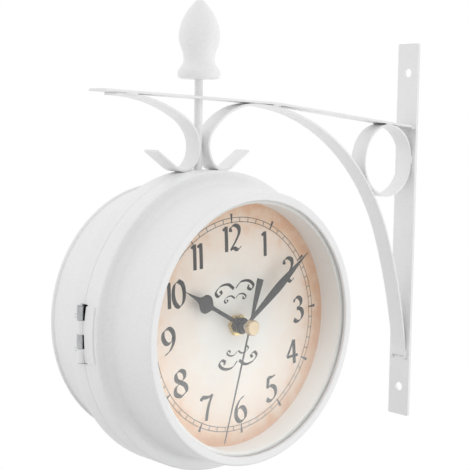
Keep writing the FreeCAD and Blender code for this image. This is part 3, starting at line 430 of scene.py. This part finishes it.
SIDE_FINISHES = {
    "glass": GLASS, "spacer_ring": CARD, "dial": DIAL_PAPER, "dial_keeper": ZINC, "movement_case": ABS,
    "movement_cover": ABS, "circuit_board": BOARD, "motor_coil": COPPER, "battery": SLEEVE,
    "battery_contacts": NICKEL, "hour_wheel": ACETAL, "minute_wheel": ACETAL, "second_wheel": ACETAL,
    "set_knob": ACETAL, "rubber_washer": RUBBER, "fixing_nut": BRASS, "hour_hand": LACQUER,
    "minute_hand": LACQUER, "second_hand": LACQUER, "hand_cap": CAP_BRASS,
}
ROOT_FINISHES = {
    "hanger_rod": PAINT, "rod_washer": ZINC, "rod_nut": ZINC, "hinge_pin": ZINC, "hinge_rear_leaf": ZINC,
    "hinge_rear_rivets": ZINC, "catch_bracket": ABS, "catch_magnet": FERRITE, "strike_plate": ZINC,
}
for name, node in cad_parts.items():
    side, _, rest = name.partition("_")
    finish = SIDE_FINISHES.get(rest) if side in ("front", "rear") else None
    node.data.materials.clear()
    node.data.materials.append(finish or ROOT_FINISHES.get(name, PAINT))


# ------------------------------------------------------------------ bracket and case

for name, shape in STRIPS.items():
    piece("soft_" + name, [(strip(*shape), False)], "root", PAINT, (name,))


def ring():
    """Rounded flat section turned about the ring's own axis."""
    a, b = rounded_section(STRIP_THICK, STRIP_WIDTH, CORNER)
    angle = np.linspace(0, TURN, RING_STATIONS, endpoint=False)[:, None]
    radius = RING_RADIUS - STRIP_THICK / 2 + a
    return np.stack(np.broadcast_arrays(RING_X + radius * np.cos(angle), b,
                                        RING_Z + radius * np.sin(angle)), -1)


piece("soft_ring_strip", [(ring(), True)], "root", PAINT, ("ring_strip",))


def shell_outline(rear):
    """Closed outline of one sheet-metal half: seam, band, shoulder, concave fillet, tapering barrel, rolled
    rim and glass seat, then back along the inside one wall away, with the locating lip on the rear half."""
    fillet = (SHOULDER_RADIUS, BAND_DEPTH + FILLET)
    bead = (RIM_RADIUS - RIM_BEAD, RIM_DEPTH - RIM_BEAD)
    lip = (OPENING + LIP_CORNER, RIM_DEPTH - LIP_CORNER)
    corners = [(BAND_RADIUS, SEAM, CORNER), (BAND_RADIUS, BAND_DEPTH, 1.2)]
    corners += arc(fillet, FILLET, 270, 180)
    corners += arc(bead, RIM_BEAD, -80, 90)
    corners += arc(lip, LIP_CORNER, 90, 180)
    inner = BAND_RADIUS - WALL
    corners += [(OPENING, GLASS_FRONT, 0.1), (NECK_RADIUS - WALL, GLASS_FRONT, 0.1)]
    corners += arc(fillet, FILLET + WALL, 180, 270)
    corners += [(inner, BAND_DEPTH - WALL, 0.4)]
    if rear:
        lip_foot = LIP_REACH + 0.5
        corners += [(inner, lip_foot, 0.1), (LIP_RADIUS - WALL, lip_foot, 0.1),
                    (LIP_RADIUS - WALL, -LIP_REACH, 0.2), (LIP_RADIUS, -LIP_REACH, 0.2),
                    (LIP_RADIUS, SEAM, CURVE_CORNER)]
    else:
        corners += [(inner, SEAM, 0.1)]
    return soft_outline(corners)


def notched(across, up, depth, side):
    """Depth with the hinge window: within its height, on the hinge side, no point is nearer to the seam
    than the window's edge."""
    inside = (np.abs(up) < NOTCH_HALF) & (across * side > 0)
    return np.where(inside, np.maximum(depth, NOTCH_DEPTH), depth)


def hinge_angles(around):
    """Stations round the case, closer at the ends of the hinge window, so that its corners stay square."""
    half = math.asin(NOTCH_HALF / BAND_RADIUS)
    tight = np.array([-0.002, -0.0002, 0.0002, 0.002])
    even = np.linspace(0, TURN, CASE_STATIONS, endpoint=False)
    return np.sort(np.concatenate([even, around + half + tight, around - half + tight]) % TURN)


def shell(rear):
    """The outline turned about the clock axis, with the hinge window cut into its edge."""
    radius, depth = shell_outline(rear)
    side = 1 if rear else -1
    angle = hinge_angles(0.0 if rear else math.pi)[:, None]
    across, up = radius * np.cos(angle), radius * np.sin(angle)
    return at_clock(across, up, notched(across, up, depth, side))


piece("soft_front_shell", [(shell(False), True)], "front_door", PAINT, ("front_shell",))
piece("soft_rear_shell", [(shell(True), True)], "root", PAINT, ("rear_shell",), rear=True)


def finial():
    """Smooth curve through (radius, height) points, turned about the rod, with a nearly closed tip."""
    curve = spline(FINIAL, 6)
    radius, height = curve[:, :1], curve[:, 1:]
    angle = np.linspace(0, TURN, FINIAL_STATIONS, endpoint=False)[None, :]
    return np.stack(np.broadcast_arrays(CLOCK_X + radius * np.cos(angle), radius * np.sin(angle),
                                        FINIAL_BASE + height), -1)


piece("soft_finial", [(finial(), False)], "root", PAINT, ("finial",), crease=60)


def weld_bead(x, y, z, length, upright, seed):
    """Weld bead: a round ridge along its length, whose radius follows sqrt(1 - |s|^3) to its ends and
    ripples every 1.1 mm, with small seeded unevenness."""
    rng = np.random.default_rng(seed)
    rows, columns = BEAD_STATIONS
    s = np.linspace(-1, 1, rows)[:, None]
    around = np.linspace(0, TURN, columns, endpoint=False)[None, :]
    wobble = np.interp(s, np.linspace(-1, 1, 7), rng.uniform(-BEAD_WOBBLE, BEAD_WOBBLE, 7))
    along = s * length / 2
    radius = BEAD_RADIUS * (np.sqrt(np.maximum(1 - np.abs(s) ** 3, 0)) * (1 - BEAD_TIP) + BEAD_TIP)
    radius = radius * (1 + RIPPLE * np.cos(TURN * along / RIPPLE_PITCH) + wobble)
    side, out = BEAD_SIDE * radius * np.cos(around), BEAD_OUT * radius * np.sin(around)
    if upright:
        return np.stack(np.broadcast_arrays(x + side, y + out, z + along), -1)
    return np.stack(np.broadcast_arrays(x + along, y + out, z + side), -1)


beads = [(weld_bead(x, side * (width / 2 - BEAD_SINK), z, length, upright, 10 * number + side), False)
         for number, (x, z, width, length, upright) in enumerate(BEADS, 1) for side in (-1, 1)]
piece("weld_bead_ridges", beads, "root", PAINT, ("weld_beads",), crease=70)


# ------------------------------------------------------------------ reveal, print and hands

def reveal():
    """Card strip rolled into a ring: its inner radius falls evenly over the whole turn and steps back at
    the overlap, a thin edge that shows on the inside."""
    angle = np.sort(np.append(np.linspace(0, TURN, REVEAL_STATIONS), TURN - HAIR))[:, None]
    inner = REVEAL_RADIUS - REVEAL_STEP * (angle / TURN)
    outer = 0 * inner + REVEAL_RADIUS + REVEAL_WALL
    radius = np.hstack([inner, inner, outer, outer])
    front = GLASS_BACK - REVEAL_GAP
    depth = np.array([DIAL_FACE, front, front, DIAL_FACE])
    place = angle + math.radians(REVEAL_SEAM)
    return at_clock(radius * np.cos(place), radius * np.sin(place), depth)


# Pen strokes of the numerals on a cell one high and 0.68 wide; x runs to the right and y up
DIGITS = {
    "0": (((0.34, 1.0), (0.14, 0.84), (0.07, 0.5), (0.14, 0.16), (0.34, 0.0), (0.54, 0.16), (0.61, 0.5),
           (0.54, 0.84), (0.34, 1.0)),),
    "1": (((0.2, 0.85), (0.26, 0.94), (0.36, 1.0)), ((0.36, 1.0), (0.35, 0.5), (0.33, 0.0))),
    "2": (((0.1, 0.76), (0.13, 0.92), (0.32, 1.0), (0.53, 0.9), (0.55, 0.68), (0.38, 0.4), (0.07, 0.04)),
          ((0.07, 0.04), (0.25, 0.09), (0.45, 0.02), (0.64, 0.12))),
    "3": (((0.1, 0.84), (0.2, 0.97), (0.37, 1.0), (0.52, 0.87), (0.48, 0.67), (0.27, 0.55)),
          ((0.27, 0.55), (0.5, 0.48), (0.59, 0.27), (0.47, 0.06), (0.25, 0.0), (0.07, 0.1))),
    "4": (((0.46, 1.0), (0.26, 0.66), (0.05, 0.32)), ((0.05, 0.32), (0.36, 0.33), (0.68, 0.32)),
          ((0.47, 1.0), (0.47, 0.5), (0.46, 0.0))),
    "5": (((0.58, 1.02), (0.4, 0.97), (0.2, 0.98)), ((0.2, 0.98), (0.17, 0.76), (0.13, 0.55)),
          ((0.13, 0.55), (0.34, 0.61), (0.54, 0.49), (0.58, 0.26), (0.43, 0.05), (0.22, 0.0), (0.06, 0.1))),
    "6": (((0.55, 1.0), (0.3, 0.86), (0.11, 0.58), (0.08, 0.28), (0.19, 0.06), (0.36, 0.0), (0.55, 0.1),
           (0.6, 0.31), (0.5, 0.52), (0.34, 0.58), (0.17, 0.5), (0.09, 0.34)),),
    "7": (((0.05, 0.84), (0.1, 0.97), (0.3, 0.93), (0.48, 0.93), (0.63, 1.0)),
          ((0.63, 1.0), (0.4, 0.55), (0.25, 0.0))),
    "8": (((0.35, 0.54), (0.15, 0.68), (0.15, 0.9), (0.35, 1.0), (0.54, 0.9), (0.53, 0.69), (0.34, 0.54),
           (0.11, 0.38), (0.08, 0.14), (0.34, 0.0), (0.6, 0.14), (0.58, 0.37), (0.35, 0.54)),),
}
DIGITS["9"] = tuple(tuple((DIGIT_WIDTH - x, 1 - y) for x, y in stroke) for stroke in DIGITS["6"])


def pen_stroke(points, scale, shift, nib=NIB):
    """Flat stroke of a broad pen: the curve's two edges lie half a width to each side, and the width is a
    hairline plus the nib times |sin| of the angle between nib and line. It is a thin closed slab."""
    line = spline(points, 9)
    along = np.gradient(line, axis=0)
    along /= np.linalg.norm(along, axis=1, keepdims=True)
    lean = math.radians(NIB_ANGLE)
    crossing = np.abs(along[:, 0] * math.sin(lean) - along[:, 1] * math.cos(lean))
    half = ((HAIRLINE + nib * crossing) / 2)[:, None]
    side = np.stack([-along[:, 1], along[:, 0]], -1) * half
    left, right = ((line + sign * side) * scale + shift for sign in (1, -1))
    flat = np.stack([left, right, right, left], 1)
    depth = np.array([1, 1, 0, 0]) * 2 * INK + DIAL_FACE - INK
    return flat, depth[None, :] + 0 * flat[:, :, 0]


def printed(flat, depth):
    """Print coordinates, turned with the dial sheet by its small angle, placed on the front side."""
    turn = math.radians(PRINT_TURN)
    across = flat[..., 0] * math.cos(turn) + flat[..., 1] * math.sin(turn)
    up = flat[..., 1] * math.cos(turn) - flat[..., 0] * math.sin(turn)
    return at_clock(across, up, depth)


def numerals():
    """Hours 1 to 12 set upright round the dial, the digits of 10 to 12 close together."""
    grids = []
    for hour in range(1, 13):
        text = str(hour)
        angle = TURN * hour / 12
        middle = np.array([math.sin(angle), math.cos(angle)]) * NUMERAL_RADIUS
        pitch = (ONES_PITCH if text == "11" else DIGIT_PITCH) * NUMERAL_HEIGHT
        more = len(text) - 1
        for place, digit in enumerate(text):
            aside = (place - more / 2) * pitch - DIGIT_WIDTH / 2 * NUMERAL_HEIGHT + PAIR_SHIFT * more
            shift = middle + (aside, -NUMERAL_HEIGHT / 2)
            for stroke in DIGITS[digit]:
                grids.append((printed(*pen_stroke(stroke, NUMERAL_HEIGHT, shift)), False))
    return grids


def bars(places, count, inner, outer, half_in, half_out):
    """Radial bars: four corners (side, radius) turned to some of count even places round the dial."""
    angle = (TURN * places / count)[:, None]
    side = np.array([-half_in, half_in, half_out, -half_out])
    radius = np.array([inner, inner, outer, outer])
    flat = np.stack([radius * np.sin(angle) + side * np.cos(angle),
                     radius * np.cos(angle) - side * np.sin(angle)], -1)
    depth = np.array([[DIAL_FACE - INK], [DIAL_FACE + INK]])
    return [(printed(np.stack([corners, corners]), depth), False) for corners in flat]


def line_ring(radius):
    """Printed circle: a flat rectangular section turned about the clock axis."""
    side, rise = np.array([(-0.5, 0), (0.5, 0), (0.5, 1), (-0.5, 1)]).T
    return turned(radius + CHAPTER_LINE * side, DIAL_FACE - INK + 2 * INK * rise, LINE_STATIONS), True


def flourish(sign):
    """Plain pen flourish: a long and a short curl and their mirror images, above or below the middle."""
    curl = ((0.05, 0.0), (0.35, 0.22), (0.75, 0.2), (1.0, 0.0), (0.9, -0.17), (0.72, -0.1), (0.76, 0.03))
    grids = []
    for mirror in (1, -1):
        for scale, lift in CURLS:
            points = [(mirror * x, y * sign) for x, y in curl]
            stroke = pen_stroke(points, scale, np.array([0.0, sign * lift]), FINE_NIB)
            grids.append((printed(*stroke), False))
    return grids


def blade(lengths, halves, level, thick, angle):
    """Flat hand: across = half width (a spline of the length) times |cos t|^0.6, and rise = thick/2 times
    |sin t|^0.5, each with its sign, so that its faces are nearly flat and its edges round."""
    shape = spline(np.stack([lengths, halves], -1), 8)
    t = np.linspace(0, TURN, 20, endpoint=False)[None, :]
    across = np.maximum(shape[:, 1:], 0.05) * np.sign(np.cos(t)) * np.abs(np.cos(t)) ** 0.6
    rise = level + thick / 2 + thick / 2 * np.sign(np.sin(t)) * np.abs(np.sin(t)) ** 0.5
    along, turn = shape[:, :1], math.radians(angle)
    return at_clock(along * math.sin(turn) + across * math.cos(turn),
                    along * math.cos(turn) - across * math.sin(turn), rise), False


def hub(inner, outer, low, high):
    """Collar with softened edges, turned about the clock axis."""
    section = [(outer, low, 0.15), (outer, high, 0.2), (inner, high, 0.1), (inner, low, 0.1)]
    return turned(*soft_outline(section), HUB_STATIONS), True


# Blades: lengths from the axis, half widths there, level, thickness and degrees clockwise from 12.
# Hubs: inner and outer radius, lower and upper level.
HANDS = {
    "hour_hand": ("hour", [
        blade((1.5, 8, 20, 25.0, 26.4, 28.2, 30.6, 33.0, 34.6, 36.0, 40.0, 46.5),
              (1.3, 1.2, 1.15, 1.3, 2.6, 4.5, 5.2, 4.5, 2.9, 1.7, 0.9, 0.14), 30.9, 0.5, 298.4),
        hub(2.5, 4.7, 30.2, 31.4)]),
    "minute_hand": ("minute", [
        blade((1.2, 6, 15, 25, 33, 40, 50, 57, 61.2),
              (1.0, 1.15, 1.75, 2.4, 2.7, 2.2, 1.15, 0.45, 0.12), 33.1, 0.5, 51.6),
        hub(1.7, 3.7, 32.4, 33.6)]),
    "second_hand": ("second", [
        blade((0, 15, 40, 64.7), (0.62, 0.58, 0.48, 0.3), 36.8, 0.45, 195.6),
        blade((0.0, 6, 14, 24.0, 27.3), (0.6, 1.0, 1.6, 2.35, 2.5), 36.8, 0.45, 15.6),
        hub(0.8, 3.5, 36.8, 37.3), hub(0.8, 1.6, 35.4, 36.8)]),
}
MINUTES = np.arange(60)
for side in ("front", "rear"):
    rear = side == "rear"
    shell_body = "root" if rear else "front_door"
    piece(side + "_rolled_reveal", [(reveal(), True)], shell_body, CARD,
          (side + "_spacer_ring",), rear=rear)
    piece(side + "_dial_numerals", numerals(), shell_body, INK_BLACK, rear=rear)
    piece(side + "_chapter_ring", bars(MINUTES[MINUTES % 5 != 0], 60, *MINUTE_BAR)
          + bars(np.arange(12), 12, *HOUR_BAR) + [line_ring(CHAPTER_OUTER), line_ring(CHAPTER_INNER)],
          shell_body, INK_BLACK, rear=rear)
    piece(side + "_dial_flourish", flourish(1) + flourish(-1), shell_body, INK_BLACK,
          rear=rear)
    for name, (wheel, grids) in HANDS.items():
        piece(side + "_soft_" + name, grids, side + "_" + wheel, LACQUER,
              (side + "_" + name,), crease=50, rear=rear)


# ------------------------------------------------------------------ camera and light

# Camera fitted to the photo: degrees, focal length in pixels of a frame 470 wide, and the eye in mm
AZIMUTH, ELEVATION, ROLL = -42.41, 5.395, 0.941
FOCAL_PX, FRAME_PX, SENSOR = 1181.56, 470, 36.0
EYE = (-626.0, -513.8, 71.3)
CLIP = (0.01, 50)

# From here in metres. The dome dims toward DIM_SIDE, between two cosines of the angle to it.
WHITE = (1, 1, 1, 1)
FLOOR_DROP, FLOOR_HALF = -0.34, 0.25
FLOOR_LIT, FLOOR_SEEN, FLOOR_GLOW = (0.35, 0.35, 0.35, 1), (0.6, 0.6, 0.6, 1), 0.5
DIM_SIDE, DIM_FROM, DIM_TO = (-0.67, -0.74, 0.02), 0.3, 0.95
DOME, DOME_DIM = 1.04, 0.66
LAMP_AIM = (-0.17, -0.02, -0.02)
LAMPS = {"key": ((-0.9, -1.1, 0.9), 0.9, 2.5),             # place, width and watts
         "low_card": ((0.74, -1.1, -0.66), 0.95, 5.0)}


def make_camera():
    """Camera axes: back from azimuth and elevation, right level, both rolled about back."""
    a, e, r = (math.radians(v) for v in (AZIMUTH, ELEVATION, ROLL))
    back = Vector((math.sin(a) * math.cos(e), -math.cos(a) * math.cos(e), math.sin(e)))
    right = Vector((math.cos(a), math.sin(a), 0.0))
    up = back.cross(right)
    turned_right = right * math.cos(r) + up * math.sin(r)
    turned_up = up * math.cos(r) - right * math.sin(r)
    camera = bpy.data.objects.new("camera", bpy.data.cameras.new("camera"))
    bpy.context.scene.collection.objects.link(camera)
    camera.data.sensor_width = SENSOR
    camera.data.lens = FOCAL_PX / FRAME_PX * SENSOR
    axes = Matrix((turned_right, turned_up, back)).transposed().to_4x4()
    camera.matrix_world = Matrix.Translation(Vector(EYE) * MM) @ axes
    camera.data.clip_start, camera.data.clip_end = CLIP
    bpy.context.scene.camera = camera


def area_lamp(name, place, size, watts):
    """Square soft box whose light fades to nothing towards its edges, over a quarter of its width."""
    data = bpy.data.lights.new(name, "AREA")
    data.use_nodes = True
    tree = data.node_tree
    spot = add(tree, "ShaderNodeSeparateXYZ", {0: add(tree, "ShaderNodeNewGeometry").outputs["Parametric"]})
    fade = []
    for axis in (0, 1):
        edge = add(tree, "ShaderNodeMath", {0: spot.outputs[axis], 1: 0.5}, operation="SUBTRACT")
        edge = add(tree, "ShaderNodeMath", {0: edge.outputs[0]}, operation="ABSOLUTE")
        fade.append(add(tree, "ShaderNodeMapRange", {0: edge.outputs[0], 1: 0.5, 2: 0.25},
                        interpolation_type="SMOOTHSTEP"))
    both = add(tree, "ShaderNodeMath", {0: fade[0].outputs[0], 1: fade[1].outputs[0]}, operation="MULTIPLY")
    tree.links.new(both.outputs[0], tree.nodes["Emission"].inputs["Strength"])
    data.shape, data.size, data.energy = "SQUARE", size, watts
    lamp = bpy.data.objects.new(name, data)
    bpy.context.scene.collection.objects.link(lamp)
    lamp.location = place
    lamp.rotation_mode = "QUATERNION"
    lamp.rotation_quaternion = (Vector(place) - Vector(LAMP_AIM)).to_track_quat("Z", "Y")


def seen_directly(tree):
    """1 for rays from the camera and for those mirrored or passed on by glass, else 0."""
    path = add(tree, "ShaderNodeLightPath")
    seen = add(tree, "ShaderNodeMath", {0: path.outputs["Is Camera Ray"], 1: path.outputs["Is Glossy Ray"]},
               operation="MAXIMUM")
    return add(tree, "ShaderNodeMath", {0: seen.outputs[0], 1: path.outputs["Is Transmission Ray"]},
               operation="MAXIMUM").outputs[0]


def make_world():
    """A white dome, dimmer toward one side. It looks white itself, also in a mirror and through glass."""
    world = bpy.data.worlds.new("studio")
    bpy.context.scene.world = world
    world.use_nodes = True
    tree = world.node_tree
    tree.nodes.clear()
    toward = add(tree, "ShaderNodeVectorMath", {0: add(tree, "ShaderNodeTexCoord").outputs["Generated"],
                                                1: DIM_SIDE}, operation="DOT_PRODUCT")
    level = add(tree, "ShaderNodeMapRange", {0: toward.outputs["Value"], 1: DIM_FROM, 2: DIM_TO, 3: DOME,
                                             4: DOME_DIM}, interpolation_type="SMOOTHSTEP")
    light = add(tree, "ShaderNodeBackground", {"Color": WHITE, "Strength": level.outputs[0]})
    white = add(tree, "ShaderNodeBackground", {"Color": WHITE, "Strength": 1.0})
    mix = add(tree, "ShaderNodeMixShader", {0: seen_directly(tree), 1: light.outputs[0],
                                            2: white.outputs[0]})
    add(tree, "ShaderNodeOutputWorld", {"Surface": mix.outputs[0]})


def make_floor():
    """Plain pale floor below the clock. It sends back little light, and looks white but for the shadow."""
    data = bpy.data.meshes.new("floor")
    corners = [(CLOCK_X * MM + x * FLOOR_HALF, y * FLOOR_HALF, FLOOR_DROP)
               for x, y in ((-1, -1), (1, -1), (1, 1), (-1, 1))]
    data.from_pydata(corners, [], [(0, 1, 2, 3)])
    floor = bpy.data.objects.new("floor", data)
    bpy.context.scene.collection.objects.link(floor)
    made = bpy.data.materials.new("pale_floor")
    made.use_nodes = True
    tree = made.node_tree
    tree.nodes.clear()
    seen = seen_directly(tree)
    tone = add(tree, "ShaderNodeMix", {0: seen, 6: FLOOR_LIT, 7: FLOOR_SEEN}, data_type="RGBA")
    matt = add(tree, "ShaderNodeBsdfDiffuse", {"Color": tone.outputs[2]})
    lift = add(tree, "ShaderNodeMath", {0: seen, 1: FLOOR_GLOW}, operation="MULTIPLY")
    glow = add(tree, "ShaderNodeEmission", {"Color": WHITE, "Strength": lift.outputs[0]})
    both = add(tree, "ShaderNodeAddShader", {0: matt.outputs[0], 1: glow.outputs[0]})
    add(tree, "ShaderNodeOutputMaterial", {"Surface": both.outputs[0]})
    data.materials.append(made)


bpy.context.scene.view_settings.view_transform = "Standard"
make_camera()
make_world()
make_floor()
for name, lamp in LAMPS.items():
    area_lamp(name, *lamp)
